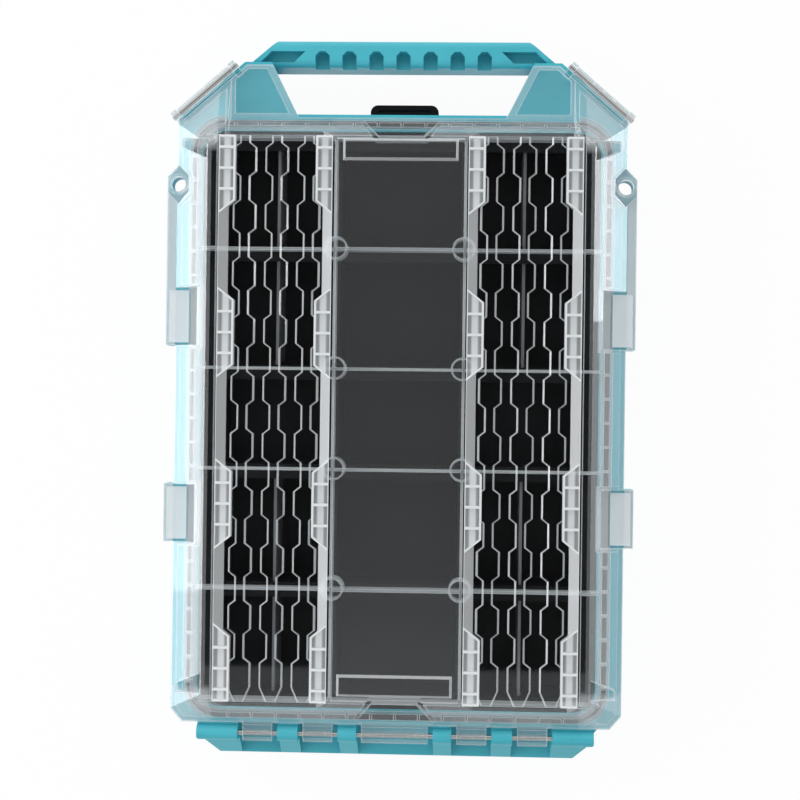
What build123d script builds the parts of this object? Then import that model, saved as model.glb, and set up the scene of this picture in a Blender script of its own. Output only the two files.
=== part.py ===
from build123d import *
import os
from math import hypot, radians, tan

# Whole case, lying flat with the lid up and the handle towards +Y
BODY_WIDTH = 236.0
BODY_LENGTH = 318.0
BASE_HEIGHT = 42.0
LID_HEIGHT = 16.0
HANDLE_REACH = 42.0
FOOT_REACH = 20.0
SIDE_REACH = 5.0

# Plan outline: two ears beside the handle, cut corners front and rear
EAR_REACH = 27.6
EAR_FOOT_INSET = 63.6
EAR_TIP_INSET = 49.7
EAR_SIDE_INSET = 28.0
CORNER_CUT_X = 36.0
CORNER_CUT_Y = 31.4
REAR_CUT_X = 6.0
REAR_CUT_Y = 7.0

# Clearances
LID_GAP = 0.3
PIN_FIT = 0.05
LOOSE_FIT = 0.3
CATCH_GAP = 0.3

# Base shell
FLOOR = 3.0
WALL = 2.5
FLANGE = 3.0
SKIRT = 2.2
SKIRT_LIFT = 3.0
SKIRT_DRAFT = 2.0
BASE_LEDGE = 2.0
CATCH_LEDGE = 2.4
RIB = 1.8
SIDE_RIB_COUNT = 5
CROSS_RIB_COUNT = 3

# Carry handle
HANDLE_DROP = 4.0
HANDLE_HEIGHT = 24.0
GRIP_THICKNESS = 14.1
GRIP_INSET = 51.7
ARM_INSET = 37.4
ARM_DROP = 12.1
GAP_INSET = 63.3
GAP_WIDE_DROP = 10.1
ARM_ROOT = 1.5
GRIP_FILLET = 3.5
GRIP_POCKETS = 7
GRIP_POCKET_MARGIN = 9.3
GRIP_POCKET_WIDTH = 7.5
GRIP_POCKET_CUT = 2.2
GRIP_POCKET_REACH = 8.4
GRIP_POCKET_DEPTH = 8.0
END_POCKET_LAP = 2.7
END_POCKET_OUT = 9.7
END_POCKET_SLANT = 6.0
END_POCKET_DEPTH = 6.0
END_POCKET_START = 2.4

# Side lugs and padlock bosses
LUG_LENGTH = 30.4
LUG_PITCH = 103.2
LUG_SETBACK = 105.2
LUG_DEPTH = 12.0
LUG_DISH = 1.0
LUG_RIM = 1.6
HASP_RADIUS = 4.0
HASP_COLLAR = 5.2
HASP_WIDTH = 11.8
HASP_LENGTH = 20.4
HASP_SIDE = 8.2
HASP_SETBACK = 35.8
HASP_BASE_DEPTH = 8.0
HASP_LID_HEIGHT = 6.0

# Lid shell
LID_EDGE = 3.0
LID_RIM = 2.6
LID_TOP_WALL = 2.0
LID_TOP_INSET = 1.5
SHOULDER = 18.0
TOP_CORNER_CUT = 21.5
TOP_REAR_CUT = 20.0
EAR_DISH = 1.0
EAR_RIM = 2.0
NOTCH_WALL = 1.8
LOCK_NOTCH_INNER = 11.6
LOCK_NOTCH_OUTER = 22.5
LOCK_NOTCH_FLOOR = 5.0
OVERRUN = 1.0

# Bin grid, which the lid's inner ribs follow
GRID_SIDE_MARGIN = 22.0
GRID_FRONT_MARGIN = 11.5
GRID_REAR_MARGIN = 13.1
ROW_END_SHARE = 0.1987
ROW_NEXT_SHARE = 0.2123
COLUMN_SHARE = 0.351

# Lid windows, pads and ribs
WINDOW_INNER_MARGIN = 6.5
WINDOW_OUTER_MARGIN = 10.8
WINDOW_SLOPE = 4.8
WINDOW_DEPTH = 3.0
WINDOW_WALL = 1.6
PAD_OVERLAP = 5.75
PAD_DEPTH = 9.4
PAD_LENGTH = 48.5
PAD_END_SLOPE = 0.8
PAD_NEAR_SHARE = 0.1513
PAD_FAR_SHARE = 0.4417
PAD_WALL = 1.1
PAD_RUNG = 1.3
PAD_RUNG_PITCH = 10.8
PAD_CELL_DEPTH = 2.2
GRID_RIB = 1.2
COMB_PAIRS = 3
COMB_FIRST_SHARE = 0.149
COMB_PITCH_SHARE = 0.34
COMB_NECK_SHARE = 0.3
COMB_SHIFT_SHARE = 0.2
COMB_LEVEL = 12.25
COMB_SLANT = 2.6
COMB_START = 3.7
COMB_SIDE = 1.05
COMB_HEIGHT = 0.8
COMB_SINK = 0.2

# Stacking bars and corner wedges on the lid, with matching recesses below the base
BAR_INSET = 3.95
BAR_WIDTH = 11.2
BAR_HEIGHT = 1.5
BAR_SLOPE = 1.2
BAR_FRONT_SETBACK = 7.2
BAR_REAR_SETBACK = 9.5
BAR_PLAY = 0.5
WEDGE_INNER_WIDTH = 10.7
WEDGE_OUTER_WIDTH = 4.7
WEDGE_REACH = 13.5
WEDGE_DROP = 0.5

# Seal and its ladder channel in the lid
SEAL_SIDE_INSET = 9.75
SEAL_FRONT_INSET = 3.2
SEAL_REAR_INSET = 4.2
SEAL_CORNER = 16.0
SEAL_WIDTH = 3.0
SEAL_HEIGHT = 1.6
CELL_WIDTH = 3.4
CELL_WALL = 1.2
RUNG_PITCH = 12.5
RUNG_WIDTH = 1.2
TUB_INSET = 3.75

# Liner tray and bins
LINER_WALL = 1.5
LINER_DROP = 0.6
LINER_PLAY = 0.4
BIN_GAP = 1.0
BIN_WALL = 1.5
BIN_DROP = 1.0
BIN_DRAFT = 0.8
BIN_CORNER = 3.0
BIN_LEDGE = 3.6
BIN_MARK_RADIUS = 10.0
BIN_MARK_HEIGHT = 0.5
DIVIDER = 1.5
DIVIDER_DROP = 4.0
DIVIDER_PLAY = 0.2
GUIDE = 1.2
GUIDE_DEPTH = 2.0

# Hinge
HINGE_OFFSET = 5.7
HINGE_PIN_RADIUS = 1.25
HINGE_PIN_INSET = 1.5
KNUCKLE_RADIUS = 4.0
KNUCKLE_SIDES = 8
KNUCKLE_WIDTH = 15.4
KNUCKLE_MIDDLE = 34.6
KNUCKLE_NEAR_SHARE = 0.3875
KNUCKLE_FAR_SHARE = 0.6923
KNUCKLE_END_INSET = 14.0
KNUCKLE_GAP = 2.8
RAIL_DROP = 20.0
RAIL_WALL = 2.5
RAIL_INSET = 23.5
RAIL_END_INSET = 9.0
RAIL_END_OUT = 2.5
GUSSET_DROP = 7.0

# Corner latches
LATCH_PIN_RADIUS = 1.3
LATCH_PIN_LENGTH = 44.0
LATCH_PIN_OUT = 3.2
LATCH_PIN_LIFT = 4.0
LATCH_SHIFT = 2.0
LATCH_WIDTH = 35.0
LATCH_TIP_WIDTH = 28.0
LATCH_BARREL = 2.7
LATCH_MOUTH = 0.6
LATCH_OUT = 7.5
LATCH_PLATE = 2.4
LATCH_DROP = 25.0
LATCH_INNER = 0.6
LATCH_HOOK_WIDTH = 22.0
LATCH_HOOK_HEIGHT = 3.0
LATCH_RIBS = 3
PIN_LUG = 3.6
PIN_LUG_GAP = 0.4
CATCH_DEPTH = 1.6
CATCH_HEIGHT = 8.0

# Stacking lock, a push tab under the front rim
LOCK_WIDTH = 37.0
LOCK_BOTTOM = 3.5
LOCK_HEIGHT = 7.5
LOCK_REACH = 10.8
LOCK_TRAVEL = 3.5
LOCK_CORNER = 4.0
LOCK_HOUSING = 2.0
LOCK_DISH = 1.2

# Levels and edges that follow from the sizes above
HALF_W = BODY_WIDTH / 2
MID_Y = (FOOT_REACH - HANDLE_REACH) / 2
FRONT = MID_Y + BODY_LENGTH / 2
REAR = MID_Y - BODY_LENGTH / 2
EAR_FRONT = FRONT + EAR_REACH
HANDLE_FRONT = FRONT + HANDLE_REACH
RAIL_REAR = REAR - FOOT_REACH
PARTING = BASE_HEIGHT
LID_BOTTOM = PARTING + LID_GAP
EDGE_TOP = PARTING + LID_EDGE
PLATEAU = PARTING + LID_HEIGHT
WINDOW_FLOOR = PLATEAU - WINDOW_DEPTH
PLATEAU_HALF = HALF_W - SHOULDER
EAR_FOOT_X = HALF_W - EAR_FOOT_INSET
EAR_TIP_X = HALF_W - EAR_TIP_INSET
EAR_SIDE_X = HALF_W - EAR_SIDE_INSET
HANDLE_TOP = PARTING - HANDLE_DROP
HANDLE_BOTTOM = HANDLE_TOP - HANDLE_HEIGHT
GRIP_HALF = HALF_W - GRIP_INSET
ARM_OUTER_X = HALF_W - ARM_INSET
GAP_TOP_HALF = HALF_W - GAP_INSET
GRIP_POCKET_PITCH = (2 * GAP_TOP_HALF - GRIP_POCKET_MARGIN) / GRIP_POCKETS
GRID_HALF = HALF_W - GRID_SIDE_MARGIN
GRID_FRONT = FRONT - GRID_FRONT_MARGIN
GRID_REAR = REAR + GRID_REAR_MARGIN
GRID_MID = (GRID_FRONT + GRID_REAR) / 2
GRID_LENGTH = GRID_FRONT - GRID_REAR
ROW_MIDDLE_SHARE = 1 - 2 * (ROW_END_SHARE + ROW_NEXT_SHARE)
ROW_SHARES = (ROW_END_SHARE, ROW_NEXT_SHARE, ROW_MIDDLE_SHARE, ROW_NEXT_SHARE, ROW_END_SHARE)
ROWS = [GRID_LENGTH * share for share in ROW_SHARES]
ROW_EDGES = [GRID_FRONT - sum(ROWS[:count]) for count in range(len(ROWS) + 1)]
COLUMN_SPLIT = GRID_HALF * COLUMN_SHARE
WINDOW_INNER_X = COLUMN_SPLIT + WINDOW_INNER_MARGIN
WINDOW_OUTER_X = PLATEAU_HALF - WINDOW_OUTER_MARGIN
WINDOW_WIDTH = WINDOW_OUTER_X - WINDOW_INNER_X
COMB_PITCH = WINDOW_WIDTH * COMB_PITCH_SHARE
COMB_NECK = COMB_PITCH * COMB_NECK_SHARE
COMB_SHIFT = COMB_PITCH * COMB_SHIFT_SHARE
KNUCKLE_END_X = HALF_W - KNUCKLE_END_INSET
HINGE_PIN_HALF = KNUCKLE_END_X - HINGE_PIN_INSET
RAIL_TOP = PARTING - RAIL_DROP
RAIL_HALF = HALF_W - RAIL_INSET
RAIL_END_X = HALF_W - RAIL_END_INSET
HINGE_Y = REAR - HINGE_OFFSET
HINGE_Z = PARTING
HASP_X = HALF_W + SIDE_REACH - HASP_WIDTH / 2
HASP_Y = FRONT - HASP_SETBACK
LUG_CENTRES = (FRONT - LUG_SETBACK, FRONT - LUG_SETBACK - LUG_PITCH)
BAR_CENTRES = (GRID_FRONT - BAR_FRONT_SETBACK, GRID_REAR + BAR_REAR_SETBACK)
SEAL_HALF = HALF_W - SEAL_SIDE_INSET
SEAL_FRONT = FRONT - SEAL_FRONT_INSET
SEAL_REAR = REAR + SEAL_REAR_INSET
SEAL_MID = (SEAL_FRONT + SEAL_REAR) / 2
LINER_TOP = PARTING - LINER_DROP
BIN_FOOT = FLOOR + LINER_WALL
BIN_TOP = PARTING - BIN_DROP
LATCH_Z = PARTING + LATCH_PIN_LIFT

# Unit vectors of the cut front corner: outwards and along
CUT_RUN = hypot(CORNER_CUT_X, CORNER_CUT_Y)
OUT_X = CORNER_CUT_Y / CUT_RUN
OUT_Y = CORNER_CUT_X / CUT_RUN
REAR_RUN = hypot(REAR_CUT_X, REAR_CUT_Y)
REAR_OUT_X = REAR_CUT_Y / REAR_RUN
REAR_OUT_Y = REAR_CUT_X / REAR_RUN
UP = (0, 0, 1)


def prism(face, low, high):
    return Pos(0, 0, low) * extrude(face, high - low, dir=UP)


def block(x, y, z):
    size = [high - low for low, high in (x, y, z)]
    middle = [(high + low) / 2 for low, high in (x, y, z)]
    return Pos(*middle) * Box(*size)


def outline(points):
    return make_face(Polyline(*points, close=True))


def with_left_half(right_points):
    return right_points + [(-x, y) for x, y in reversed(right_points)]


def both_sides(right_points):
    return outline(with_left_half(right_points))


def flat_solid(rings):
    return Solid(Shell([Face(Wire.make_polygon([Vector(*point) for point in ring])) for ring in rings]))


# A solid with flat sides between two level outlines whose edges run parallel
def frustum(low_points, high_points, low, high):
    bottom = [(x, y, low) for x, y in low_points]
    top = [(x, y, high) for x, y in high_points]
    pairs = list(zip(bottom, top))
    sides = [(a, b, d, c) for (a, c), (b, d) in zip(pairs, pairs[1:] + pairs[:1])]
    return flat_solid([bottom, top, *sides])


def mirrored(part):
    return part + mirror(part, Plane.YZ)


def ear_x(y):
    return EAR_FOOT_X + (y - FRONT) * (EAR_TIP_X - EAR_FOOT_X) / EAR_REACH


def cut_y(x, out):
    return EAR_FRONT - CORNER_CUT_Y + (out - (x - HALF_W) * OUT_X) / OUT_Y


def cut_x(y, out):
    return HALF_W + (out - (y - EAR_FRONT + CORNER_CUT_Y) * OUT_Y) / OUT_X


def rear_cut_y(x, out):
    return REAR + REAR_CUT_Y + ((x - HALF_W) * REAR_OUT_X - out) / REAR_OUT_Y


def rear_cut_x(y, out):
    return HALF_W + (out + (y - REAR - REAR_CUT_Y) * REAR_OUT_Y) / REAR_OUT_X


# Plan of the flange: the lid's own, or the base's with its ledges
def flange_face(front_out=0.0, cut_out=0.0):
    front = FRONT + front_out
    tip = EAR_FRONT + front_out
    return both_sides([
        (ear_x(front), front),
        (ear_x(tip), tip),
        (cut_x(tip, cut_out), tip),
        (HALF_W, cut_y(HALF_W, cut_out)),
        (HALF_W, rear_cut_y(HALF_W, 0)),
        (rear_cut_x(REAR, 0), REAR),
    ])


def seal_face(out):
    width = 2 * (SEAL_HALF + out)
    length = SEAL_FRONT - SEAL_REAR + 2 * out
    return Pos(0, SEAL_MID) * RectangleRounded(width, length, SEAL_CORNER + out)


# Base shell
def base_rim():
    return prism(flange_face(BASE_LEDGE, CATCH_LEDGE), PARTING - FLANGE, PARTING)


def tub_solid(out, low):
    return prism(seal_face(out - TUB_INSET), low, PARTING)


def skirt_solid(inset):
    face = flange_face(BASE_LEDGE, CATCH_LEDGE)
    if inset:
        face = offset(face, -inset, kind=Kind.INTERSECTION)
    top = Pos(0, 0, PARTING - FLANGE) * face
    return extrude(top, PARTING - FLANGE - SKIRT_LIFT, dir=(0, 0, -1), taper=SKIRT_DRAFT)


def skirt_ribs():
    ribs = Part()
    side_pitch = BODY_LENGTH / (SIDE_RIB_COUNT + 1)
    for index in range(SIDE_RIB_COUNT):
        y = REAR + side_pitch * (index + 1)
        ribs += block((-HALF_W, HALF_W), (y - RIB / 2, y + RIB / 2), (SKIRT_LIFT, PARTING - FLANGE))
    cross_pitch = BODY_WIDTH / (CROSS_RIB_COUNT + 1)
    for index in range(CROSS_RIB_COUNT):
        x = -HALF_W + cross_pitch * (index + 1)
        ribs += block((x - RIB / 2, x + RIB / 2), (REAR, EAR_FRONT), (SKIRT_LIFT, PARTING - FLANGE))
    return ribs & skirt_solid(0)


# Carry handle, whose arms end flush on the ears
def carry_handle():
    tip = EAR_FRONT + BASE_LEDGE
    root = tip - ARM_ROOT
    inner = HANDLE_FRONT - GRIP_THICKNESS
    outer = both_sides([
        (GRIP_HALF, HANDLE_FRONT),
        (ARM_OUTER_X, HANDLE_FRONT - ARM_DROP),
        (ARM_OUTER_X, root),
        (ear_x(root), root),
    ])
    wide = inner - GAP_WIDE_DROP
    gap = both_sides([
        (GAP_TOP_HALF, inner),
        (ear_x(wide), wide),
        (ear_x(root - ARM_ROOT), root - ARM_ROOT),
    ])
    body = prism(outer - gap, HANDLE_BOTTOM, HANDLE_TOP)
    grip_edges = body.edges().filter_by(Axis.X).filter_by(lambda edge: edge.center().Y > wide)
    body = fillet(grip_edges, GRIP_FILLET)
    half = GRIP_POCKET_WIDTH / 2
    deep = inner + GRIP_POCKET_REACH
    pocket = both_sides([(half, wide), (half, deep - GRIP_POCKET_CUT), (half - GRIP_POCKET_CUT, deep)])
    first = -(GRIP_POCKETS - 1) / 2
    for index in range(GRIP_POCKETS):
        place = Pos((first + index) * GRIP_POCKET_PITCH, 0)
        body -= prism(place * pocket, HANDLE_TOP - GRIP_POCKET_DEPTH, HANDLE_TOP)
    low = inner + END_POCKET_START
    high = low + END_POCKET_SLANT
    start = GAP_TOP_HALF - END_POCKET_LAP
    end = GRIP_HALF + END_POCKET_OUT
    recess = outline([
        (start, high),
        (end - END_POCKET_SLANT, high),
        (end, low),
        (start + END_POCKET_SLANT, low),
    ])
    body -= mirrored(prism(recess, HANDLE_TOP - END_POCKET_DEPTH, HANDLE_TOP))
    return body - skirt_solid(0)


def lid_knuckle_spans():
    spans = [(-KNUCKLE_MIDDLE / 2, KNUCKLE_MIDDLE / 2)]
    for share in (KNUCKLE_NEAR_SHARE, KNUCKLE_FAR_SHARE):
        for x in (-share * KNUCKLE_END_X, share * KNUCKLE_END_X):
            spans.append((x - KNUCKLE_WIDTH / 2, x + KNUCKLE_WIDTH / 2))
    return sorted(spans)


def base_knuckle_spans():
    spans = lid_knuckle_spans()
    starts = [-KNUCKLE_END_X] + [high + KNUCKLE_GAP for _, high in spans]
    ends = [low - KNUCKLE_GAP for low, _ in spans] + [KNUCKLE_END_X]
    return list(zip(starts, ends))


def along_x(face, low, high):
    return Pos(low, 0, 0) * extrude(Plane.YZ * face, high - low, dir=(1, 0, 0))


# Flat-sided barrel or bore on the hinge line
def hinge_polygon(radius):
    turn = 180 / KNUCKLE_SIDES
    return Pos(HINGE_Y, HINGE_Z) * RegularPolygon(radius, KNUCKLE_SIDES, major_radius=False, rotation=turn)


def hinge_bore():
    return along_x(hinge_polygon(HINGE_PIN_RADIUS + PIN_FIT), -HALF_W, HALF_W)


# Foot rail behind the base, open below and towards the skirt, with the hinge knuckles standing on it
def rail_plan(front):
    return both_sides([
        (RAIL_END_X, front),
        (RAIL_END_X, REAR - RAIL_END_OUT),
        (RAIL_HALF, RAIL_REAR),
    ])


def foot_rail():
    front = REAR + SKIRT
    hollow = offset(rail_plan(front + 2 * RAIL_WALL), -RAIL_WALL, kind=Kind.INTERSECTION)
    return prism(rail_plan(front), 0, RAIL_TOP) - prism(hollow, 0, RAIL_TOP - RAIL_WALL)


def base_knuckles():
    back = HINGE_Y - KNUCKLE_RADIUS
    web = outline([
        (REAR + SKIRT, RAIL_TOP - RAIL_WALL),
        (REAR + SKIRT, PARTING - LID_GAP),
        (HINGE_Y, PARTING - LID_GAP),
        (back, PARTING),
        (back, PARTING - GUSSET_DROP),
        (RAIL_REAR, RAIL_TOP),
        (RAIL_REAR, RAIL_TOP - RAIL_WALL),
    ])
    profile = web + Pos(HINGE_Y, HINGE_Z) * Circle(KNUCKLE_RADIUS)
    knuckles = Part()
    for low, high in base_knuckle_spans():
        knuckles += along_x(profile, low, high)
    knuckles &= prism(rail_plan(FRONT), 0, PARTING + KNUCKLE_RADIUS)
    return knuckles - hinge_bore()


def hinge_rail():
    return foot_rail() + base_knuckles() - skirt_solid(0) - base_rim()


def lock_box(grow, back):
    half = LOCK_WIDTH / 2 + grow
    top = LOCK_BOTTOM + LOCK_HEIGHT + grow
    return block((-half, half), (back, FRONT + BASE_LEDGE), (LOCK_BOTTOM - grow, top))


def bar_points(y, grow):
    x = COLUMN_SPLIT - BAR_INSET + grow
    half = BAR_WIDTH / 2 + grow
    return with_left_half([(x, y - half), (x, y + half)])


# Lugs on both sides; the front one runs on as a wing to the padlock boss
def side_lugs(inner, low, high):
    half = LUG_LENGTH / 2
    front, rear = LUG_CENTRES
    lugs = Part()
    for span in ((front - half, HASP_Y), (rear - half, rear + half)):
        lugs += block((inner, HALF_W + SIDE_REACH), span, (low, high))
    return mirrored(lugs)


# Six-sided plan of a padlock boss, flush with the wing's edge
def hasp_face(grow=0.0):
    x = HASP_WIDTH / 2
    side = HASP_SIDE / 2
    tip = HASP_LENGTH / 2
    face = outline([(x, -side), (x, side), (0, tip), (-x, side), (-x, -side), (0, -tip)])
    if grow:
        face = offset(face, grow, kind=Kind.INTERSECTION)
    return Pos(HASP_X, HASP_Y) * face


# Frame of a front corner: x along the cut, y outwards, origin on the latch pin
def corner_plane():
    middle_x = HALF_W - CORNER_CUT_X / 2
    middle_y = EAR_FRONT - CORNER_CUT_Y / 2
    x = middle_x + OUT_X * LATCH_PIN_OUT + OUT_Y * LATCH_SHIFT
    y = middle_y + OUT_Y * LATCH_PIN_OUT - OUT_X * LATCH_SHIFT
    return Plane(origin=(x, y, LATCH_Z), x_dir=(OUT_Y, -OUT_X, 0), z_dir=UP)


def latch_catch():
    ledge = CATCH_LEDGE - LATCH_PIN_OUT
    top = PARTING - FLANGE - LATCH_Z
    half = LATCH_HOOK_WIDTH / 2 + LOOSE_FIT
    pocket = block((-half, half), (ledge - CATCH_DEPTH, ledge + CATCH_DEPTH), (top - CATCH_HEIGHT, top))
    return corner_plane() * pocket


def base_shell():
    shell = base_rim() + (skirt_solid(0) - skirt_solid(SKIRT)) + skirt_ribs() + tub_solid(WALL, 0)
    tub_front = SEAL_FRONT - TUB_INSET
    housing = lock_box(LOCK_HOUSING + LOOSE_FIT, tub_front)
    shell += housing & block((-HALF_W, HALF_W), (REAR, FRONT + BASE_LEDGE), (0, PARTING))
    shell += side_lugs(HALF_W - SKIRT, PARTING - LUG_DEPTH, PARTING)
    shell += mirrored(prism(hasp_face(SKIRT), SKIRT_LIFT, PARTING - FLANGE)) & skirt_solid(0)
    shell -= mirrored(prism(hasp_face(), 0, PARTING))
    shell -= mirrored(latch_catch())
    shell -= tub_solid(0, FLOOR)
    shell -= lock_box(LOOSE_FIT, tub_front + WALL)
    for y in BAR_CENTRES:
        shell -= prism(outline(bar_points(y, BAR_PLAY)), 0, BAR_HEIGHT + BAR_PLAY)
    return shell


# Padlock bosses of base and lid, each with its half of the bore
def hasp_bore():
    return prism(Pos(HASP_X, HASP_Y) * Circle(HASP_RADIUS), 0, PLATEAU)


def hasp_boss():
    return prism(hasp_face(), PARTING - HASP_BASE_DEPTH, PARTING) - hasp_bore()


def lid_boss():
    collar = Pos(HASP_X, HASP_Y) * Circle(HASP_COLLAR)
    boss = prism(hasp_face(), LID_BOTTOM, EDGE_TOP)
    return boss + prism(collar, LID_BOTTOM, PARTING + HASP_LID_HEIGHT) - hasp_bore()


# Liner tray inside the base
def liner():
    top = prism(seal_face(-TUB_INSET - LINER_PLAY), LINER_TOP - LINER_WALL, LINER_TOP)
    outer = Pos(0, GRID_MID) * Rectangle(
        2 * (GRID_HALF + LINER_PLAY + LINER_WALL), GRID_LENGTH + 2 * (LINER_PLAY + LINER_WALL))
    inner = Pos(0, GRID_MID) * Rectangle(2 * (GRID_HALF + LINER_PLAY), GRID_LENGTH + 2 * LINER_PLAY)
    tray = prism(outer, FLOOR, LINER_TOP) + top
    return tray - prism(inner, BIN_FOOT, LINER_TOP)


# Bins and dividers
def bin_size(row, column):
    width = 2 * COLUMN_SPLIT if column == 0 else GRID_HALF - COLUMN_SPLIT
    return width - BIN_GAP, ROWS[row] - BIN_GAP


def bin_place(row, column):
    x = column * (GRID_HALF + COLUMN_SPLIT) / 2
    return Pos(x, (ROW_EDGES[row] + ROW_EDGES[row + 1]) / 2, 0)


def bin_points(width, length, level):
    inset = tan(radians(BIN_DRAFT)) * (BIN_TOP - level)
    x = width / 2 - inset
    y = length / 2 - inset
    cut = BIN_CORNER
    return with_left_half([(x - cut, -y), (x, cut - y), (x, y - cut), (x - cut, y)])


def bin_block(width, length, low):
    low_points = bin_points(width, length, low)
    return frustum(low_points, bin_points(width, length, BIN_TOP), low, BIN_TOP)


def bin_shell(row, column, divided):
    width, length = bin_size(row, column)
    inside = BIN_FOOT + BIN_WALL
    hollow = bin_block(width - 2 * BIN_WALL, length - 2 * BIN_WALL, inside)
    inner_y = length / 2 - BIN_WALL
    ledge = (inner_y - BIN_LEDGE, inner_y)
    fill = [block((-width / 2, width / 2), ledge, (BIN_TOP - BIN_WALL, BIN_TOP))]
    if divided:
        slot = DIVIDER / 2 + DIVIDER_PLAY
        for low in (-slot - GUIDE, slot):
            for y in (-inner_y, inner_y - GUIDE_DEPTH):
                span = (y, y + GUIDE_DEPTH)
                fill.append(block((low, low + GUIDE), span, (inside, BIN_TOP - DIVIDER_DROP)))
    elif column:
        fill.append(prism(Circle(BIN_MARK_RADIUS), inside, inside + BIN_MARK_HEIGHT))
    return bin_place(row, column) * (bin_block(width, length, BIN_FOOT) - (hollow - fill))


def divider(row, column):
    width, length = bin_size(row, column)
    low = BIN_FOOT + BIN_WALL
    high = BIN_TOP - DIVIDER_DROP
    half = length / 2 - BIN_WALL - DIVIDER_PLAY
    lean = tan(radians(BIN_DRAFT))
    foot = half - lean * (BIN_TOP - low)
    head = half - lean * (BIN_TOP - high)
    plate = outline([(-head, high), (head, high), (foot, low), (-foot, low)])
    return bin_place(row, column) * along_x(plate, -DIVIDER / 2, DIVIDER / 2)


# Lid
def dome_points(inset):
    side = HALF_W - inset
    ear = EAR_SIDE_X + inset
    rear = REAR + inset
    return with_left_half([
        (ear, FRONT - inset),
        (ear, cut_y(ear, -inset)),
        (side, cut_y(side, -inset)),
        (side, rear_cut_y(side, -inset)),
        (rear_cut_x(rear, -inset), rear),
    ])


def plateau_points(inset):
    side = PLATEAU_HALF - inset
    ear = EAR_SIDE_X + inset
    rear = GRID_REAR + inset
    corner = -TOP_CORNER_CUT - inset
    shift = TOP_REAR_CUT + inset
    return with_left_half([
        (ear, GRID_FRONT - inset),
        (ear, cut_y(ear, corner)),
        (side, cut_y(side, corner)),
        (side, rear_cut_y(side, -shift)),
        (rear_cut_x(rear, -shift), rear),
    ])


def dome(foot_inset, top_inset, foot, top):
    return frustum(dome_points(foot_inset), plateau_points(top_inset), foot, top)


def window_points(slope):
    inner = WINDOW_INNER_X - slope
    outer = WINDOW_OUTER_X + slope
    return [(inner, REAR), (outer, REAR), (outer, FRONT), (inner, FRONT)]


def windows():
    return mirrored(frustum(window_points(0), window_points(WINDOW_SLOPE), WINDOW_FLOOR, PLATEAU))


def window_lining():
    grow = WINDOW_SLOPE + WINDOW_WALL
    span = (WINDOW_INNER_X - grow, WINDOW_OUTER_X + grow)
    return mirrored(block(span, (REAR, FRONT), (WINDOW_FLOOR - WINDOW_WALL, PLATEAU)))


def pad_centres():
    shares = (PAD_FAR_SHARE, PAD_NEAR_SHARE, -PAD_NEAR_SHARE, -PAD_FAR_SHARE)
    return [GRID_MID + GRID_LENGTH * share for share in shares]


def pad_face(y, long_x, inwards, inset=0.0):
    half_long = PAD_LENGTH / 2 - inset * (1 + PAD_END_SLOPE)
    start = long_x + inwards * inset
    end = long_x + inwards * (PAD_DEPTH - inset)
    half_short = half_long - PAD_END_SLOPE * (PAD_DEPTH - 2 * inset)
    return outline([
        (start, y - half_long), (end, y - half_short), (end, y + half_short), (start, y + half_long)])


def pad_sides():
    return ((WINDOW_INNER_X - PAD_OVERLAP, 1), (WINDOW_OUTER_X + PAD_OVERLAP, -1))


def pads():
    field = block((0, HALF_W), (GRID_REAR, GRID_FRONT), (WINDOW_FLOOR, PLATEAU))
    solid = Part()
    for y in pad_centres():
        for long_x, inwards in pad_sides():
            solid += prism(pad_face(y, long_x, inwards), WINDOW_FLOOR, PLATEAU)
    return mirrored(solid & field)


def pad_cells():
    field = Pos(HALF_W / 2, GRID_MID) * Rectangle(HALF_W, GRID_LENGTH - 2 * PAD_WALL)
    cells = Sketch()
    for y in pad_centres():
        rungs = Sketch()
        for step in (-PAD_RUNG_PITCH, 0, PAD_RUNG_PITCH):
            rungs += Pos(HALF_W / 2, y + step) * Rectangle(HALF_W, PAD_RUNG)
        for long_x, inwards in pad_sides():
            cells += (pad_face(y, long_x, inwards, PAD_WALL) & field) - rungs
    return mirrored(prism(cells, PLATEAU - PAD_CELL_DEPTH, PLATEAU))


def lug_notches(grow, low):
    notches = Part()
    inner = SEAL_HALF - CELL_WIDTH / 2 - CELL_WALL - grow
    half = LUG_LENGTH / 2 + grow
    for y in LUG_CENTRES:
        notches += block((inner, BODY_WIDTH), (y - half, y + half), (low, PLATEAU))
    return mirrored(notches)


def lock_notches(grow, low):
    notches = Part()
    for edge, plateau_edge in ((FRONT, GRID_FRONT), (REAR, GRID_REAR)):
        way = 1 if edge > plateau_edge else -1
        notches += prism(both_sides([
            (LOCK_NOTCH_INNER + grow, plateau_edge - way * grow),
            (LOCK_NOTCH_OUTER + grow, edge + way * OVERRUN),
        ]), low, PLATEAU)
    return notches


def ladder_sketch():
    wall = CELL_WIDTH / 2
    walls = seal_face(wall + CELL_WALL) - seal_face(wall)
    return walls + (seal_face(-wall) - seal_face(-wall - CELL_WALL))


def seal_channel():
    channel = seal_face(CELL_WIDTH / 2) - seal_face(-CELL_WIDTH / 2)
    return prism(channel, PARTING, PARTING + SEAL_HEIGHT + LID_GAP)


def rung_sketch():
    rungs = Sketch()
    reach = CELL_WIDTH / 2 + CELL_WALL / 2
    straight = SEAL_FRONT - SEAL_REAR - 2 * SEAL_CORNER
    count = int(straight / 2 / RUNG_PITCH)
    for index in range(-count, count + 1):
        for side in (-SEAL_HALF, SEAL_HALF):
            rungs += Pos(side, SEAL_MID + index * RUNG_PITCH) * Rectangle(2 * reach, RUNG_WIDTH)
    count = int((SEAL_HALF - SEAL_CORNER) / RUNG_PITCH)
    for index in range(-count, count + 1):
        for edge in (SEAL_FRONT, SEAL_REAR):
            rungs += Pos(index * RUNG_PITCH, edge) * Rectangle(RUNG_WIDTH, 2 * reach)
    return rungs


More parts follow.
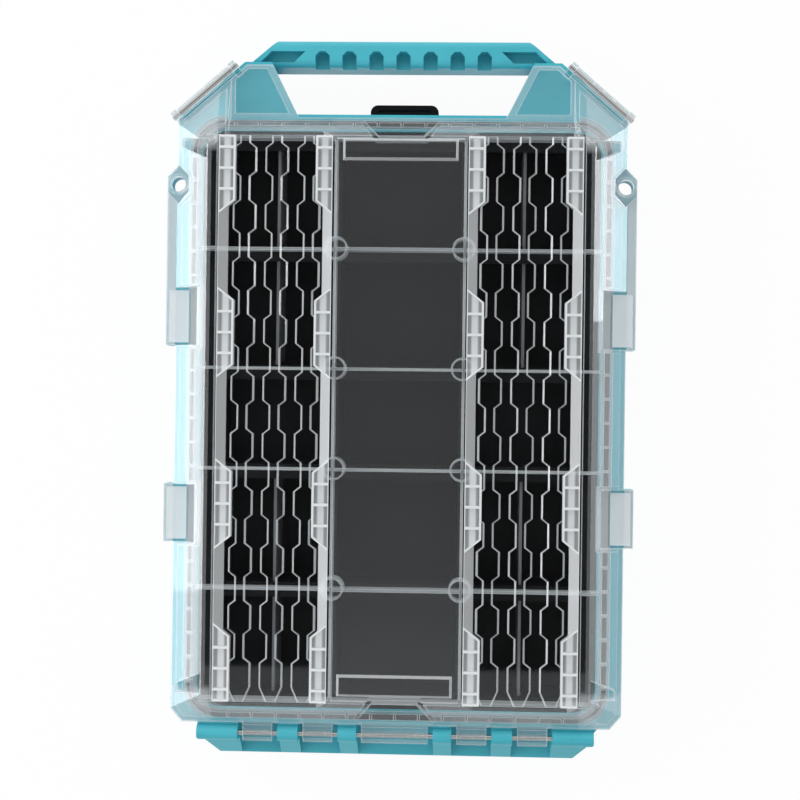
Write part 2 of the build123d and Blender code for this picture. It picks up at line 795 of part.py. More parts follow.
def grid_sketch():
    reach = SEAL_HALF - CELL_WIDTH / 2 - CELL_WALL / 2
    grid = Sketch()
    for y in ROW_EDGES:
        grid += Pos(0, y) * Rectangle(2 * reach, GRID_RIB)
    for x in (-COLUMN_SPLIT, COLUMN_SPLIT):
        grid += Pos(x, GRID_MID) * Rectangle(GRID_RIB, GRID_LENGTH)
    return grid


def comb_bends():
    bends = [(0, GRID_FRONT), (0, GRID_FRONT - COMB_START)]
    wide = 1
    while bends[-1][1] - COMB_SLANT - COMB_LEVEL > GRID_REAR:
        start = bends[-1][1] - COMB_SLANT
        bends += [(wide, start), (wide, start - COMB_LEVEL)]
        wide = 1 - wide
    return bends + [(wide, GRID_REAR)]


def strip_points(half):
    return with_left_half([(half + COMB_SHIFT * wide, y) for wide, y in comb_bends()])


# Raised strips of the windows, which step between narrow and wide
def comb_strips():
    narrow = (COMB_NECK - COMB_SIDE) / 2
    strip = frustum(
        strip_points(narrow + COMB_SIDE), strip_points(narrow),
        WINDOW_FLOOR - COMB_SINK, WINDOW_FLOOR + COMB_HEIGHT)
    first = WINDOW_INNER_X + WINDOW_WIDTH * COMB_FIRST_SHARE
    centres = [first + pair * COMB_PITCH for pair in range(COMB_PAIRS)]
    return [Pos(side * x, 0, 0) * strip for x in centres for side in (-1, 1)]


# Bars and corner wedges that the next case's recesses sit on
def bars():
    top = PLATEAU + BAR_HEIGHT
    return [frustum(bar_points(y, 0), bar_points(y, -BAR_SLOPE), PLATEAU, top) for y in BAR_CENTRES]


def wedges():
    inner = PLATEAU_HALF - WEDGE_DROP
    outer = PLATEAU_HALF + WEDGE_REACH
    solid = Part()
    for way, y in zip((1, -1), BAR_CENTRES):
        end = y + way * WEDGE_INNER_WIDTH / 2
        face = outline([
            (inner, end),
            (outer, end),
            (outer, end - way * WEDGE_OUTER_WIDTH),
            (inner, end - way * WEDGE_INNER_WIDTH),
        ])
        solid += prism(face, EDGE_TOP, PLATEAU - WEDGE_DROP)
    return mirrored(solid)


def lid_knuckles():
    start = REAR + LID_RIM
    web = outline([(start, LID_BOTTOM), (start, EDGE_TOP), (HINGE_Y, EDGE_TOP), (HINGE_Y, LID_BOTTOM)])
    profile = web + hinge_polygon(KNUCKLE_RADIUS)
    knuckles = Part()
    for low, high in lid_knuckle_spans():
        knuckles += along_x(profile, low, high)
    return knuckles


def pin_lugs():
    start = LATCH_WIDTH / 2 + PIN_LUG_GAP
    depth = (-LATCH_PIN_OUT - LID_RIM, LATCH_BARREL)
    height = (LID_BOTTOM + LOOSE_FIT - LATCH_Z, LATCH_BARREL)
    lugs = Part()
    for low in (start, -start - PIN_LUG):
        lugs += block((low, low + PIN_LUG), depth, height)
    bore = Rot(0, 90, 0) * Cylinder(LATCH_PIN_RADIUS + PIN_FIT, LATCH_PIN_LENGTH)
    return corner_plane() * (lugs - bore)


def lid_outside():
    outside = prism(flange_face(), LID_BOTTOM, EDGE_TOP)
    outside += side_lugs(PLATEAU_HALF, LID_BOTTOM, EDGE_TOP)
    outside += dome(0, 0, EDGE_TOP, PLATEAU)
    outside += wedges()
    outside -= windows()
    outside += pads()
    outside -= lug_notches(0, EDGE_TOP)
    outside -= lock_notches(0, PARTING + LOCK_NOTCH_FLOOR)
    return outside


def lid_inside():
    inside = prism(outline(dome_points(LID_RIM)), PARTING, EDGE_TOP)
    inside += dome(LID_RIM, LID_TOP_INSET, EDGE_TOP, PLATEAU - LID_TOP_WALL)
    inside -= window_lining()
    inside -= lug_notches(NOTCH_WALL, EDGE_TOP - LID_TOP_WALL)
    inside -= lock_notches(NOTCH_WALL, PARTING + LOCK_NOTCH_FLOOR - LID_TOP_WALL)
    inside -= mirrored(prism(hasp_face(NOTCH_WALL), PARTING, PLATEAU))
    return inside


def ear_dishes():
    front = FRONT + EAR_RIM
    tip = EAR_FRONT - EAR_RIM
    inner = 2 * EAR_RIM
    side = EAR_SIDE_X - EAR_RIM
    face = outline([
        (ear_x(front) + inner, front),
        (ear_x(tip) + inner, tip),
        (cut_x(tip, -EAR_RIM), tip),
        (side, cut_y(side, -EAR_RIM)),
        (side, front),
    ])
    return mirrored(prism(face, EDGE_TOP - EAR_DISH, EDGE_TOP))


def lug_dishes():
    dishes = Part()
    half = LUG_LENGTH / 2 - LUG_RIM
    reach = (SEAL_HALF + CELL_WIDTH / 2 + CELL_WALL, HALF_W + SIDE_REACH - LUG_RIM)
    for y in LUG_CENTRES:
        dishes += block(reach, (y - half, y + half), (EDGE_TOP - LUG_DISH, EDGE_TOP))
    return mirrored(dishes)


# The hollow under the lid, left standing where the inner ribs and the seal ladder are
def lid_cavity():
    ribs = grid_sketch() + ladder_sketch() + rung_sketch()
    return lid_inside() - prism(ribs, PARTING, PLATEAU)


def lid():
    raised = [*bars(), *comb_strips(), mirrored(pin_lugs()), lid_knuckles()]
    solid = lid_outside() + raised
    hollows = [pad_cells(), ear_dishes(), lug_dishes(), seal_channel(), lid_cavity()]
    hollows.append(mirrored(prism(hasp_face(), PARTING, PLATEAU)))
    hollows.append(hinge_bore())
    return solid - hollows


def lid_seal():
    ring = seal_face(SEAL_WIDTH / 2) - seal_face(-SEAL_WIDTH / 2)
    return prism(ring, PARTING, PARTING + SEAL_HEIGHT)


# Pins, latches and stacking lock
def hinge_pin():
    wire = Pos(HINGE_Y, HINGE_Z) * Circle(HINGE_PIN_RADIUS)
    return along_x(wire, -HINGE_PIN_HALF, HINGE_PIN_HALF)


def latch_pin():
    return corner_plane() * (Rot(0, 90, 0) * Cylinder(LATCH_PIN_RADIUS, LATCH_PIN_LENGTH))


def latch():
    hook_top = PARTING - FLANGE - LOOSE_FIT - LATCH_Z
    hook_low = hook_top - LATCH_HOOK_HEIGHT
    hook_tip = CATCH_LEDGE - LATCH_PIN_OUT + CATCH_GAP
    plate = outline([
        (LATCH_INNER, 0),
        (LATCH_BARREL, 0),
        (LATCH_INNER + LATCH_PLATE, -LATCH_BARREL),
        (LATCH_INNER + LATCH_PLATE, hook_low),
        (LATCH_OUT, -LATCH_DROP),
        (LATCH_OUT - LATCH_PLATE, -LATCH_DROP),
        (LATCH_INNER, hook_low - LATCH_HOOK_HEIGHT),
    ])
    half = LATCH_WIDTH / 2
    body = along_x(plate + Circle(LATCH_BARREL), -half, half)
    body -= block((-half, half), (-LATCH_BARREL, LATCH_BARREL), (LATCH_MOUTH, LATCH_BARREL))
    hook = outline([(LATCH_INNER, hook_top), (hook_tip, hook_top), (LATCH_INNER, hook_low)])
    body += along_x(hook, -LATCH_HOOK_WIDTH / 2, LATCH_HOOK_WIDTH / 2)
    body -= Rot(0, 90, 0) * Cylinder(LATCH_PIN_RADIUS + PIN_FIT, LATCH_WIDTH)
    tip = LATCH_TIP_WIDTH / 2
    start = LATCH_INNER + LATCH_PLATE
    corner = outline([(half, start), (half, LATCH_OUT), (tip, LATCH_OUT)])
    body -= mirrored(prism(corner, -LATCH_DROP, LATCH_BARREL))
    rib_pitch = LATCH_TIP_WIDTH / (LATCH_RIBS + 1)
    rib = outline([(start, -LATCH_BARREL), (LATCH_OUT, -LATCH_DROP), (start, hook_low)])
    for index in range(LATCH_RIBS):
        x = -tip + rib_pitch * (index + 1)
        body += along_x(rib, x - RIB / 2, x + RIB / 2)
    return corner_plane() * body


def stack_lock():
    back = SEAL_FRONT - TUB_INSET + WALL + LOCK_TRAVEL + LOOSE_FIT
    tip = FRONT + BASE_LEDGE + LOCK_REACH
    middle = (back + tip) / 2
    plan = Pos(0, middle) * Rectangle(LOCK_WIDTH, tip - back)
    plan = fillet(plan.vertices().group_by(Axis.Y)[-1], LOCK_CORNER)
    tab = prism(plan, LOCK_BOTTOM, LOCK_BOTTOM + LOCK_HEIGHT)
    dish = Pos(0, tip - LOCK_REACH / 2) * RectangleRounded(
        LOCK_WIDTH - 2 * LOCK_CORNER, LOCK_REACH / 2, LOCK_DISH)
    top = LOCK_BOTTOM + LOCK_HEIGHT
    return tab - prism(dish, top - LOCK_DISH, top)


def all_parts():
    parts = {
        "base_shell": base_shell(),
        "carry_handle": carry_handle(),
        "hinge_rail": hinge_rail(),
        "inner_liner": liner(),
        "hinge_pin": hinge_pin(),
        "lid": lid(),
        "lid_seal": lid_seal(),
        "stack_lock": stack_lock(),
    }
    paired = {"hasp_boss": hasp_boss(), "lid_boss": lid_boss(), "latch": latch(), "latch_pin": latch_pin()}
    for name, part in paired.items():
        parts[f"{name}_right"] = part
        parts[f"{name}_left"] = mirror(part, Plane.YZ)
    middle_row = len(ROWS) // 2
    for row in range(len(ROWS)):
        for column, side in ((-1, "left"), (0, "middle"), (1, "right")):
            divided = column != 0 and row != middle_row
            name = f"row{row + 1}_{side}"
            parts[f"bin_{name}"] = bin_shell(row, column, divided)
            if divided:
                parts[f"divider_{name}"] = divider(row, column)
    return parts


os.makedirs("parts", exist_ok=True)
for node, part in all_parts().items():
    export_step(part, f"parts/{node}.step")
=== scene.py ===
import bpy
from math import radians
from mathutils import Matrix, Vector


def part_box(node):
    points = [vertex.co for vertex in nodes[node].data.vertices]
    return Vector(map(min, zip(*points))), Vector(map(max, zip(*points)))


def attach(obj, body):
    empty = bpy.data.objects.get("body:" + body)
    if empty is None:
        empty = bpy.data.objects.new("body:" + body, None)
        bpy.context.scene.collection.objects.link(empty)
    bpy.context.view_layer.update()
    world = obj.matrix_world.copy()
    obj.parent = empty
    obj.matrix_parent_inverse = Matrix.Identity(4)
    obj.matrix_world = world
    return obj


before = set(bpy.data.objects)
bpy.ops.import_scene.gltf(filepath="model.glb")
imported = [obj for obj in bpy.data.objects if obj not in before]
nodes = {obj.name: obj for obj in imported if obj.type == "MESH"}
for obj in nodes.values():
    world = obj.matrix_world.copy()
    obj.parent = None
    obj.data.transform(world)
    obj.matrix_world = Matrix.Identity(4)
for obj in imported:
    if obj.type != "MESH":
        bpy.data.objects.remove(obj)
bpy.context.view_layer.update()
print("frame loaded:", len(nodes), "nodes")

scene = bpy.context.scene
scene.view_settings.view_transform = "Standard"


# Helpers for shader trees
def newMaterial(name):
    material = bpy.data.materials.new(name)
    material.use_nodes = True
    tree = material.node_tree
    tree.nodes.clear()
    return material, tree


def addNode(tree, kind, values=None, **settings):
    node = tree.nodes.new(kind)
    for key, value in settings.items():
        setattr(node, key, value)
    for key, value in (values or {}).items():
        if isinstance(value, bpy.types.NodeSocket):
            tree.links.new(value, node.inputs[key])
        else:
            node.inputs[key].default_value = value
    return node


def addMath(tree, operation, first, second=0.0, clamp=False):
    node = addNode(tree, "ShaderNodeMath", {0: first, 1: second}, operation=operation, use_clamp=clamp)
    return node.outputs[0]


def addRange(tree, value, low, high, outLow=0.0, outHigh=1.0):
    node = addNode(tree, "ShaderNodeMapRange", {
        "Value": value, "From Min": low, "From Max": high, "To Min": outLow, "To Max": outHigh})
    return node.outputs["Result"]


def newGroup(name, inputs, outputs):
    group = bpy.data.node_groups.new(name, "ShaderNodeTree")
    for label, kind in inputs.items():
        group.interface.new_socket(label, in_out="INPUT", socket_type=kind)
    for label, kind in outputs.items():
        group.interface.new_socket(label, in_out="OUTPUT", socket_type=kind)
    return group, addNode(group, "NodeGroupInput"), addNode(group, "NodeGroupOutput")


def setSurface(tree, shader):
    output = addNode(tree, "ShaderNodeOutputMaterial")
    tree.links.new(shader, output.inputs["Surface"])


def assign(names, material):
    for name in names:
        mesh = nodes[name].data
        mesh.materials.clear()
        mesh.materials.append(material)


# Camera, straight above with a slight lean, fitted to points of the photograph
cameraSet = {
    "place": (0.03331, -0.00363, 0.89973),
    "turn": (0.287, 2.177, 0.748),
    "lens": 73.56,
    "sensor": 36.0,
}
camera = bpy.data.objects.new("camera", bpy.data.cameras.new("camera"))
scene.collection.objects.link(camera)
camera.location = cameraSet["place"]
camera.rotation_euler = [radians(angle) for angle in cameraSet["turn"]]
camera.data.lens = cameraSet["lens"]
camera.data.sensor_width = cameraSet["sensor"]
scene.camera = camera
print("camera set")

# Fine grain of moulded plastic: a mottled colour, a roughness and a bumped normal
grainSet = {"fineDetail": 3.0, "blotch": 26.0, "blotchDetail": 4.0, "low": 0.3, "high": 0.7, "depth": 0.0002}
grainGroup, grainIn, grainOut = newGroup(
    "mouldGrain",
    {"Scale": "NodeSocketFloat", "Depth": "NodeSocketFloat", "Dark": "NodeSocketColor",
     "Light": "NodeSocketColor", "Smooth": "NodeSocketFloat", "Rough": "NodeSocketFloat"},
    {"Color": "NodeSocketColor", "Roughness": "NodeSocketFloat", "Normal": "NodeSocketVector"})
place = addNode(grainGroup, "ShaderNodeTexCoord").outputs["Object"]
fine = addNode(grainGroup, "ShaderNodeTexNoise", {
    "Vector": place, "Scale": grainIn.outputs["Scale"], "Detail": grainSet["fineDetail"]}).outputs["Fac"]
broad = addNode(grainGroup, "ShaderNodeTexNoise", {
    "Vector": place, "Scale": grainSet["blotch"], "Detail": grainSet["blotchDetail"]}).outputs["Fac"]
tone = addRange(grainGroup, broad, grainSet["low"], grainSet["high"])
# Inputs 0, 6 and 7 of a colour mix are its share and its two colours, and output 2 is the mix
mixed = addNode(grainGroup, "ShaderNodeMix", {
    0: tone, 6: grainIn.outputs["Dark"], 7: grainIn.outputs["Light"]}, data_type="RGBA")
rough = addRange(grainGroup, tone, 0.0, 1.0, grainIn.outputs["Smooth"], grainIn.outputs["Rough"])
bump = addNode(grainGroup, "ShaderNodeBump", {
    "Height": fine, "Strength": grainIn.outputs["Depth"], "Distance": grainSet["depth"]})
grainGroup.links.new(mixed.outputs[2], grainOut.inputs["Color"])
grainGroup.links.new(rough, grainOut.inputs["Roughness"])
grainGroup.links.new(bump.outputs["Normal"], grainOut.inputs["Normal"])


def mouldedPlastic(name, look):
    material, tree = newMaterial(name)
    grain = addNode(tree, "ShaderNodeGroup", None, node_tree=grainGroup)
    for label in ("Scale", "Depth", "Dark", "Light", "Smooth", "Rough"):
        grain.inputs[label].default_value = look[label.lower()]
    shader = addNode(tree, "ShaderNodeBsdfPrincipled", {
        "Base Color": grain.outputs["Color"], "Roughness": grain.outputs["Roughness"],
        "Normal": grain.outputs["Normal"], "IOR": look["ior"], "Specular IOR Level": look["shine"]})
    setSurface(tree, shader.outputs["BSDF"])
    return material


tealLook = {
    "dark": (0.055, 0.43, 0.52, 1), "light": (0.070, 0.48, 0.58, 1),
    "smooth": 0.34, "rough": 0.44, "scale": 1400.0, "depth": 0.12, "ior": 1.5, "shine": 0.4,
}
blackLook = {
    "dark": (0.006, 0.0065, 0.0075, 1), "light": (0.010, 0.011, 0.013, 1),
    "smooth": 0.38, "rough": 0.5, "scale": 1600.0, "depth": 0.15, "ior": 1.48, "shine": 0.18,
}
greyLook = {
    "dark": (0.13, 0.14, 0.15, 1), "light": (0.18, 0.19, 0.20, 1),
    "smooth": 0.4, "rough": 0.5, "scale": 1500.0, "depth": 0.1, "ior": 1.48, "shine": 0.4,
}
rubberLook = {
    "dark": (0.075, 0.080, 0.086, 1), "light": (0.105, 0.112, 0.12, 1),
    "smooth": 0.7, "rough": 0.85, "scale": 2600.0, "depth": 0.3, "ior": 1.45, "shine": 0.3,
}
teal = mouldedPlastic("tealPlastic", tealLook)
black = mouldedPlastic("blackPlastic", blackLook)
grey = mouldedPlastic("greyPlastic", greyLook)
rubber = mouldedPlastic("sealRubber", rubberLook)

# Steel wire of the pins, with a finely uneven gloss
steelSet = {
    "color": (0.50, 0.50, 0.49, 1), "smooth": 0.20, "rough": 0.28,
    "scale": 400.0, "detail": 2.0, "low": 0.3, "high": 0.7,
}
steel, tree = newMaterial("steelWire")
place = addNode(tree, "ShaderNodeTexCoord").outputs["Object"]
grain = addNode(tree, "ShaderNodeTexNoise", {
    "Vector": place, "Scale": steelSet["scale"], "Detail": steelSet["detail"]}).outputs["Fac"]
gloss = addRange(tree, grain, steelSet["low"], steelSet["high"], steelSet["smooth"], steelSet["rough"])
shader = addNode(tree, "ShaderNodeBsdfPrincipled", {
    "Base Color": steelSet["color"], "Metallic": 1.0, "Roughness": gloss})
setSurface(tree, shader.outputs["BSDF"])

# Painted glare on the clear plastic: a white share painted on faces where the real lid catches and mirrors
# light, a painted highlight and painted reflection.
# Steep walls, edges and the feet of ribs get the most, window slopes less so, and level panes stay clear;
# the middle panel has a haze of its own.
# Places are metres in the part's frame, In and Out are the two ends of a soft border
glareMaskSet = {
    "wallFrom": 0.60, "wallTo": 0.45, "slopeFrom": 0.97, "slopeTo": 0.90,  # how far a face looks up or down
    "gridMiddle": -0.0102, "gridHalf": 0.1466,  # length of the bin grid
    "panelIn": 0.0335, "panelOut": 0.0345, "windowIn": 0.0965, "windowOut": 0.0985, "windowMiddle": 0.0647,
    "padLevel": 0.0558, "padStart": 0.0222, "padBand": 0.00015,  # floors of the raised pads
    "bandMiddle": 0.0254, "bandOut": 0.0022, "bandIn": 0.0012, "bandLow": 0.4,  # painted bright band along a pad
    "frameLevel": 0.058, "frameStart": 0.0205, "frameEnd": 0.0296,  # tops of the pads' frames
    "footTop": 0.0446, "footLow": 0.0441, "flangeIn": 0.1112, "flangeOut": 0.1114,
    "sideIn": 0.1183, "sideOut": 0.1187,  # side lugs
    "earIn": 0.1478, "earOut": 0.1486, "earSideIn": 0.0904, "earSideOut": 0.0908,
    "dishLevel": 0.044, "rimLevel": 0.045, "dishBand": 0.00006,  # dishes in ears and lugs
    "cornerFrom": 0.138, "cornerTo": 0.142, "cornerIn": 0.0945, "cornerOut": 0.0965,
    "edgeRadius": 0.0005, "edgeSamples": 6, "edgeFrom": 0.02, "edgeTo": 0.16,
}
glareLabels = (
    "Wall", "Slope", "Window", "Pad", "Frame", "Rim", "Corner", "Edge", "Foot", "Flange", "Side", "Ear")
glareGroup, glareIn, glareOut = newGroup(
    "paintedGlareMasks", {label: "NodeSocketFloat" for label in glareLabels},
    {"Painted Glare": "NodeSocketFloat", "Panel": "NodeSocketFloat"})


# Short forms for masks in this group
def times(first, second):
    return addMath(glareGroup, "MULTIPLY", first, second)


def larger(first, second):
    return addMath(glareGroup, "MAXIMUM", first, second)


def over(value, limit):
    return addMath(glareGroup, "GREATER_THAN", value, limit)


def under(value, limit):
    return addMath(glareGroup, "LESS_THAN", value, limit)


def distance(value, middle):
    return addMath(glareGroup, "ABSOLUTE", addMath(glareGroup, "SUBTRACT", value, middle))


def fade(value, start, end):
    return addRange(glareGroup, value, glareMaskSet[start], glareMaskSet[end])


def blend(mask, first, second):
    return addRange(glareGroup, mask, 0.0, 1.0, first, second)


coords = addNode(glareGroup, "ShaderNodeTexCoord")
spot = addNode(glareGroup, "ShaderNodeSeparateXYZ", {"Vector": coords.outputs["Object"]})
facing = addNode(glareGroup, "ShaderNodeSeparateXYZ", {"Vector": coords.outputs["Normal"]})
level = addMath(glareGroup, "ABSOLUTE", facing.outputs["Z"])
across = addMath(glareGroup, "ABSOLUTE", spot.outputs["X"])
away = distance(spot.outputs["Y"], glareMaskSet["gridMiddle"])
beside = distance(across, glareMaskSet["windowMiddle"])
wall = fade(level, "wallFrom", "wallTo")
slope = fade(level, "slopeFrom", "slopeTo")
flat = fade(level, "slopeTo", "slopeFrom")


def levelAt(height, band):
    return times(flat, under(distance(spot.outputs["Z"], glareMaskSet[height]), glareMaskSet[band]))


inWindow = times(fade(across, "windowOut", "windowIn"), under(away, glareMaskSet["gridHalf"]))
window = times(slope, inWindow)
aside = distance(beside, glareMaskSet["bandMiddle"])
band = addRange(glareGroup, aside, glareMaskSet["bandOut"], glareMaskSet["bandIn"], glareMaskSet["bandLow"], 1.0)
pad = times(times(levelAt("padLevel", "padBand"), over(beside, glareMaskSet["padStart"])), band)
onFrame = times(over(beside, glareMaskSet["frameStart"]), under(beside, glareMaskSet["frameEnd"]))
padFrame = times(levelAt("frameLevel", "padBand"), onFrame)
onEar = times(fade(spot.outputs["Y"], "earIn", "earOut"), fade(across, "earSideOut", "earSideIn"))
rim = times(onEar, levelAt("rimLevel", "dishBand"))
corner = times(fade(away, "cornerFrom", "cornerTo"), fade(across, "cornerIn", "cornerOut"))
# Edges: a painted highlight line where the bevelled normal leaves the plain one
plain = addNode(glareGroup, "ShaderNodeNewGeometry").outputs["Normal"]
rounded = addNode(glareGroup, "ShaderNodeBevel", {
    "Radius": glareMaskSet["edgeRadius"]}, samples=glareMaskSet["edgeSamples"])
along = addNode(glareGroup, "ShaderNodeVectorMath", {
    0: plain, 1: rounded.outputs["Normal"]}, operation="DOT_PRODUCT").outputs["Value"]
edge = addRange(glareGroup, along, 1 - glareMaskSet["edgeFrom"], 1 - glareMaskSet["edgeTo"])

# Painted glare on low level faces: rib feet, then flanges round the grid, side lugs and ears
foot = times(flat, fade(spot.outputs["Z"], "footTop", "footLow"))
onFlange = larger(fade(across, "flangeIn", "flangeOut"), over(away, glareMaskSet["gridHalf"]))
footGlare = blend(onFlange, glareIn.outputs["Foot"], glareIn.outputs["Flange"])
footGlare = blend(fade(across, "sideIn", "sideOut"), footGlare, glareIn.outputs["Side"])
footGlare = blend(onEar, footGlare, glareIn.outputs["Ear"])
dishGlare = blend(onEar, glareIn.outputs["Side"], glareIn.outputs["Ear"])
paintedGlare = larger(times(foot, footGlare), times(levelAt("dishLevel", "dishBand"), dishGlare))
masks = {
    "Wall": wall, "Slope": slope, "Window": window, "Pad": pad, "Frame": padFrame, "Rim": rim,
    "Corner": corner, "Edge": edge,
}
for label, mask in masks.items():
    paintedGlare = larger(paintedGlare, times(mask, glareIn.outputs[label]))
glareGroup.links.new(paintedGlare, glareOut.inputs["Painted Glare"])
glareGroup.links.new(fade(across, "panelOut", "panelIn"), glareOut.inputs["Panel"])


# Clear plastic: panes that pass and mirror light, mixed with a white body where glare is painted on, a
# painted highlight and painted reflection
def clearPlastic(name, look):
    material, tree = newMaterial(name)
    paintedGlareMasks = addNode(tree, "ShaderNodeGroup", None, node_tree=glareGroup)
    for label in glareLabels:
        paintedGlareMasks.inputs[label].default_value = look[label.lower()]
    haze = addMath(tree, "MULTIPLY", paintedGlareMasks.outputs["Panel"], look["panelHaze"])
    rough = addRange(tree, paintedGlareMasks.outputs["Panel"], 0.0, 1.0, look["smooth"], look["panelRough"])
    passing = addNode(tree, "ShaderNodeBsdfTransparent", {"Color": look["tint"]})
    mirror = addNode(tree, "ShaderNodeBsdfGlossy", {"Color": look["gloss"], "Roughness": rough})
    back = addNode(tree, "ShaderNodeNewGeometry").outputs["Backfacing"]
    bend = addRange(tree, back, 0.0, 1.0, look["ior"], 1 / look["ior"])
    fresnel = addNode(tree, "ShaderNodeFresnel", {"IOR": bend}).outputs[0]
    shadow = addNode(tree, "ShaderNodeLightPath").outputs["Is Shadow Ray"]
    mirrored = addMath(tree, "MULTIPLY", fresnel, addMath(tree, "SUBTRACT", 1.0, shadow))
    pane = addNode(tree, "ShaderNodeMixShader", {0: mirrored, 1: passing.outputs[0], 2: mirror.outputs[0]})
    body = addNode(tree, "ShaderNodeBsdfPrincipled", {
        "Base Color": look["body"], "Roughness": look["bodyRough"]})
    share = addMath(tree, "MAXIMUM", paintedGlareMasks.outputs["Painted Glare"], haze)
    share = addMath(tree, "MULTIPLY", share, addRange(tree, shadow, 0.0, 1.0, 1.0, look["shade"]))
    mixed = addNode(tree, "ShaderNodeMixShader", {0: share, 1: pane.outputs[0], 2: body.outputs[0]})
    setSurface(tree, mixed.outputs[0])
    return material


clearLook = {
    "wall": 0.5, "slope": 0.07, "window": 0.38, "pad": 0.75, "frame": 0.85, "rim": 0.2, "corner": 0.18,
    "edge": 0.75, "foot": 0.52, "flange": 0.1, "side": 0.68, "ear": 0.04,  # strength of the painted glare on each kind of face
    "panelHaze": 0.015, "panelRough": 0.25, "smooth": 0.03, "ior": 1.55,
    "tint": (0.985, 0.99, 0.99, 1), "gloss": (0.92, 0.97, 1, 1),
    "body": (0.86, 0.89, 0.91, 1), "bodyRough": 0.25,
    "shade": 0.4,  # how much of the painted glare casts a shadow
}
# Bosses get a weaker painted glare on their low faces
bossLook = {**clearLook, "foot": 0.4, "flange": 0.4, "side": 0.4}
clear = clearPlastic("clearPlastic", clearLook)
bossClear = clearPlastic("bossPlastic", bossLook)

binNames = [name for name in nodes if name.startswith("bin_")]
dividerNames = [name for name in nodes if name.startswith("divider_")]
sides = ("left", "right")
assign(["base_shell", "carry_handle", "hinge_rail"] + [f"hasp_boss_{side}" for side in sides], teal)
assign(["inner_liner", "stack_lock"] + binNames, black)
assign(dividerNames, grey)
assign(["lid_seal"], rubber)
assign(["hinge_pin"] + [f"latch_pin_{side}" for side in sides], steel)
assign(["lid"] + [f"latch_{side}" for side in sides], clear)
assign([f"lid_boss_{side}" for side in sides], bossClear)
print("materials set")

# Ring bosses under the lid, where its inner ribs cross
ringSet = {"radius": 0.006, "wall": 0.0009, "top": 0.0556, "low": 0.0428, "steps": 32, "smoothAngle": 40}
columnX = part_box("bin_row1_middle")[1].x
rowY = [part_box(f"bin_row{row}_middle")[0].y for row in range(1, 5)]
ringZ = (ringSet["top"] + ringSet["low"]) / 2
rings = []
for x in (-columnX, columnX):
    for y in rowY:
        bpy.ops.object.select_all(action="DESELECT")
        bpy.ops.mesh.primitive_cylinder_add(
            vertices=ringSet["steps"], radius=ringSet["radius"], depth=ringSet["top"] - ringSet["low"],
            end_fill_type="NOTHING", location=(x, y, ringZ))
        rings.append(bpy.context.object)
for ring in rings:
    ring.select_set(True)
bpy.ops.object.join()
ringBosses = bpy.context.object
ringBosses.name = "ringBosses"
bpy.ops.object.transform_apply(location=True, rotation=True, scale=True)
thick = ringBosses.modifiers.new("wall", "SOLIDIFY")
thick.thickness = ringSet["wall"]
bpy.ops.object.modifier_apply(modifier=thick.name)
bpy.ops.object.shade_smooth_by_angle(angle=radians(ringSet["smoothAngle"]))
ringBosses.data.materials.append(clear)
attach(ringBosses, "lid")
print("ring bosses made:", len(rings))

# Floor, white to the camera and to mirrors, and keeping part of the shadow
floorSet = {"half": 6.0, "color": (0.86, 0.86, 0.86, 1), "white": 0.95}
bpy.ops.object.select_all(action="DESELECT")
bpy.ops.mesh.primitive_plane_add(size=2 * floorSet["half"], location=(0, 0, 0))
floor = bpy.context.object
floor.name = "floor"
floorMaterial, tree = newMaterial("paleFloor")
rays = addNode(tree, "ShaderNodeLightPath")
seen = addMath(tree, "ADD", rays.outputs["Is Camera Ray"], rays.outputs["Is Glossy Ray"])
seen = addMath(tree, "ADD", seen, rays.outputs["Is Transmission Ray"], clamp=True)
matt = addNode(tree, "ShaderNodeBsdfDiffuse", {"Color": floorSet["color"]})
glow = addNode(tree, "ShaderNodeEmission", {"Color": (1, 1, 1, 1), "Strength": 1.0})
share = addMath(tree, "MULTIPLY", seen, floorSet["white"])
mixed = addNode(tree, "ShaderNodeMixShader", {0: share, 1: matt.outputs[0], 2: glow.outputs[0]})
setSurface(tree, mixed.outputs[0])
floor.data.materials.append(floorMaterial)

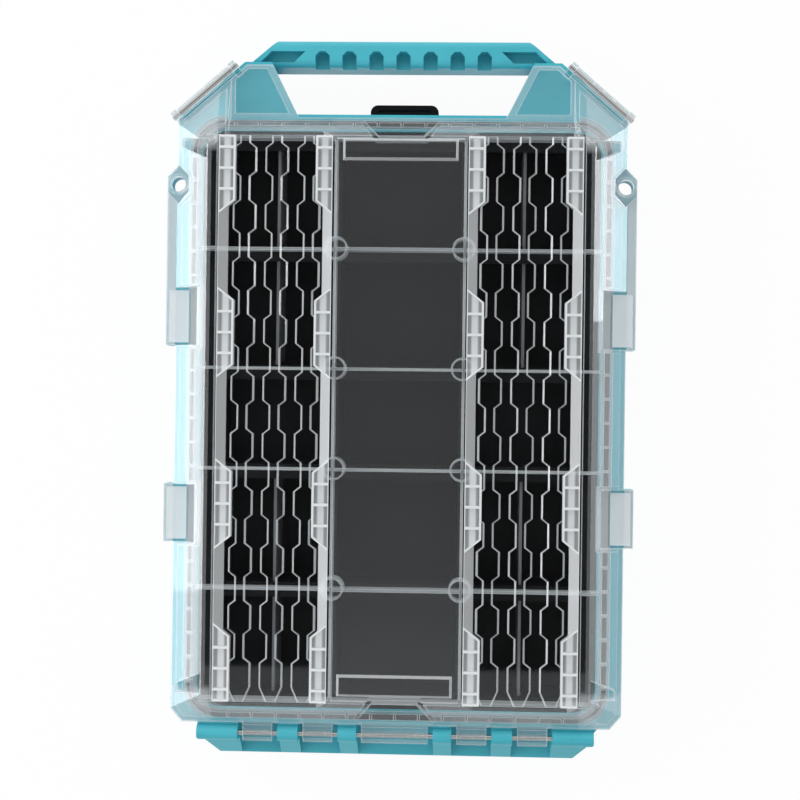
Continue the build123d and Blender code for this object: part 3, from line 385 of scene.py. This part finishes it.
# World: soft light from all round, dark straight above so that level panes mirror dark
worldSet = {"ring": 1.05, "top": 0.02, "start": 0.93, "end": 0.965, "rearShare": 0.35, "frontShare": 1.2}
world = bpy.data.worlds.new("studio")
scene.world = world
world.use_nodes = True
tree = world.node_tree
tree.nodes.clear()
way = addNode(tree, "ShaderNodeTexCoord").outputs["Generated"]
way = addNode(tree, "ShaderNodeSeparateXYZ", {"Vector": way})
share = addRange(tree, way.outputs["Y"], -1.0, 1.0, worldSet["rearShare"], worldSet["frontShare"])
ring = addMath(tree, "MULTIPLY", share, worldSet["ring"])
strength = addRange(tree, way.outputs["Z"], worldSet["start"], worldSet["end"], ring, worldSet["top"])
direct = addNode(tree, "ShaderNodeLightPath").outputs["Is Camera Ray"]
strength = addRange(tree, direct, 0.0, 1.0, strength, 1.0)
sky = addNode(tree, "ShaderNodeBackground", {"Color": (1, 1, 1, 1), "Strength": strength})
output = addNode(tree, "ShaderNodeOutputWorld")
tree.links.new(sky.outputs[0], output.inputs["Surface"])


# Softboxes: both sides mirrored by the lid's shoulders, and a panel behind
def softbox(name, look):
    data = bpy.data.lights.new(name, "AREA")
    data.shape = "RECTANGLE"
    data.size, data.size_y = look["size"]
    data.energy = look["power"]
    lamp = bpy.data.objects.new(name, data)
    scene.collection.objects.link(lamp)
    lamp.location = look["place"]
    lamp.rotation_euler = [radians(angle) for angle in look["turn"]]


lampSet = {
    "leftBox": {"size": (0.14, 1.2), "power": 4.1, "place": (-1.15, 0.38, 0.21), "turn": (0, -82, 0)},
    "leftLow": {"size": (0.14, 0.7), "power": 1.5, "place": (-1.15, -0.57, 0.21), "turn": (0, -82, 0)},
    "leftHigh": {"size": (0.30, 1.3), "power": 4.5, "place": (-1.0, 0.0, 0.55), "turn": (0, -62, 0)},
    "rightBox": {"size": (0.14, 0.8), "power": 2.9, "place": (1.15, 0.50, 0.29), "turn": (0, 77, 0)},
    "rightLow": {"size": (0.14, 1.0), "power": 0.4, "place": (1.15, -0.40, 0.29), "turn": (0, 77, 0)},
    "rearPanel": {"size": (1.4, 1.0), "power": 2.0, "place": (0.0, -0.87, 1.5), "turn": (0, 0, 0)},
}
for name, look in lampSet.items():
    softbox(name, look)
print("floor, world and lamps set")
